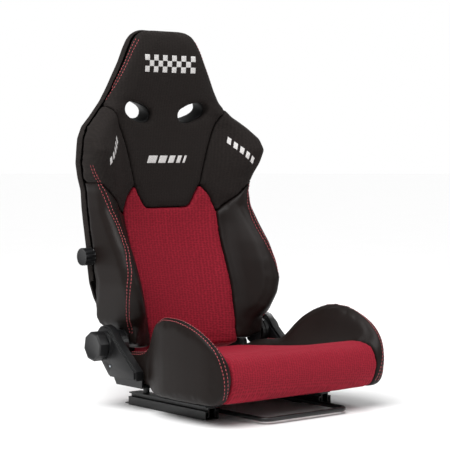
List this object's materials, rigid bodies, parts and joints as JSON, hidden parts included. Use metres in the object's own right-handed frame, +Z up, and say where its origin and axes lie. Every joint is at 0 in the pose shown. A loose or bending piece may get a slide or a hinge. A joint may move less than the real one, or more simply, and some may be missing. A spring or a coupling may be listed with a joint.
{
  "type": "racing seat",
  "caption": "Reclining bucket-style sport seat with shoulder wings, harness openings, lumbar and recline knobs, and floor sliders released by a bar.",
  "frame": {"origin": "on the floor plane under the middle of the bounding box", "axes": "+Z up, the seat faces -Y, the sitter's left is +X"},
  "size_m": [0.581, 0.6214, 0.944],
  "materials": {
    "red_cloth": "woven mesh cloth over foam",
    "black_cloth": "woven cloth over foam",
    "black_plastic": "fine grain",
    "black_paint": "satin powder coat",
    "zinc": "bright zinc",
    "steel": "plain"
  },
  "bodies": {
    "sliders": {"lower_rail_right": "black_paint", "lower_rail_left": "black_paint"},
    "ball_cages": {"ball_cage_right": "steel", "ball_cage_left": "steel"},
    "seat_base": {"base_cross_tube_front": "black_paint", "base_cross_tube_rear": "black_paint", "base_side_member_left": "black_paint", "base_side_member_right": "black_paint", "cover_screw_left": "zinc", "cover_screw_right": "zinc", "handle_bracket_left": "black_paint", "handle_bracket_right": "black_paint", "mount_bolt_front_left": "zinc", "mount_bolt_front_right": "zinc", "mount_bolt_rear_left": "zinc", "mount_bolt_rear_right": "zinc", "recliner_cover_left": "black_plastic", "recliner_cover_right": "black_plastic", "recliner_lower_bracket_left": "black_paint", "recliner_lower_bracket_right": "black_paint", "recliner_outer_disc_left": "steel", "recliner_outer_disc_right": "steel", "seat_centre_cushion": "red_cloth", "seat_pan": "black_paint", "spacer_front_left": "zinc", "spacer_front_right": "zinc", "spacer_rear_left": "black_paint", "spacer_rear_right": "black_paint", "thigh_bolster_left": "black_cloth", "thigh_bolster_right": "black_cloth", "upper_rail_left": "black_paint", "upper_rail_right": "black_paint"},
    "release_handle": {"handle_bar": "black_paint", "handle_shaft": "black_paint", "latch_pawl_right": "steel", "latch_pawl_left": "steel"},
    "recline_drive": {"recline_knob": "black_plastic", "recline_shaft": "steel"},
    "backrest": {"back_bolster_left": "black_cloth", "back_bolster_right": "black_cloth", "back_cover": "black_cloth", "back_cross_tube_lower": "black_paint", "back_cross_tube_upper": "black_paint", "back_insert": "red_cloth", "back_side_tube_left": "black_paint", "back_side_tube_right": "black_paint", "harness_sleeve_left": "black_plastic", "harness_sleeve_right": "black_plastic", "head_and_chest_panel": "black_cloth", "head_hoop": "black_paint", "recliner_inner_disc_left": "steel", "recliner_inner_disc_right": "steel", "recliner_upper_bracket_left": "black_paint", "recliner_upper_bracket_right": "black_paint", "shoulder_wing_left": "black_cloth", "shoulder_wing_right": "black_cloth"},
    "lumbar_drive": {"lumbar_knob": "black_plastic", "lumbar_shaft": "steel", "lumbar_paddle": "black_plastic"}
  },
  "joints": [
    {"name": "seat_slide", "type": "slide", "parent": "sliders", "child": "seat_base", "axis": [0, -1, 0], "range_m": [-0.08, 0.08]},
    {"name": "ball_cage_slide", "type": "slide", "parent": "sliders", "child": "ball_cages", "axis": [0, -1, 0], "range_m": [-0.041, 0.041]},
    {"name": "recline", "type": "hinge", "parent": "seat_base", "child": "backrest", "pos_m": [0.0125, 0.14479, 0.152], "axis": [-1, 0, 0], "range_deg": [-5, 45]},
    {"name": "recline_knob_turn", "type": "hinge", "parent": "seat_base", "child": "recline_drive", "pos_m": [0.0125, 0.14479, 0.152], "axis": [-1, 0, 0], "range_deg": [-121, 1081]},
    {"name": "lumbar_turn", "type": "hinge", "parent": "backrest", "child": "lumbar_drive", "pos_m": [0.0125, 0.22679, 0.367], "axis": [1, 0, 0], "range_deg": [0, 180]},
    {"name": "handle_lift", "type": "hinge", "parent": "seat_base", "child": "release_handle", "pos_m": [0.0125, -0.00721, 0.012], "axis": [-1, 0, 0], "range_deg": [0, 6], "stiffness_Nm_per_rad": 4, "springref_deg": -11.46}
  ],
  "couplings": [
    {"joint": "ball_cage_slide", "follows": "seat_slide", "ratio": 0.5},
    {"joint": "recline_knob_turn", "follows": "recline", "ratio": 24}
  ]
}
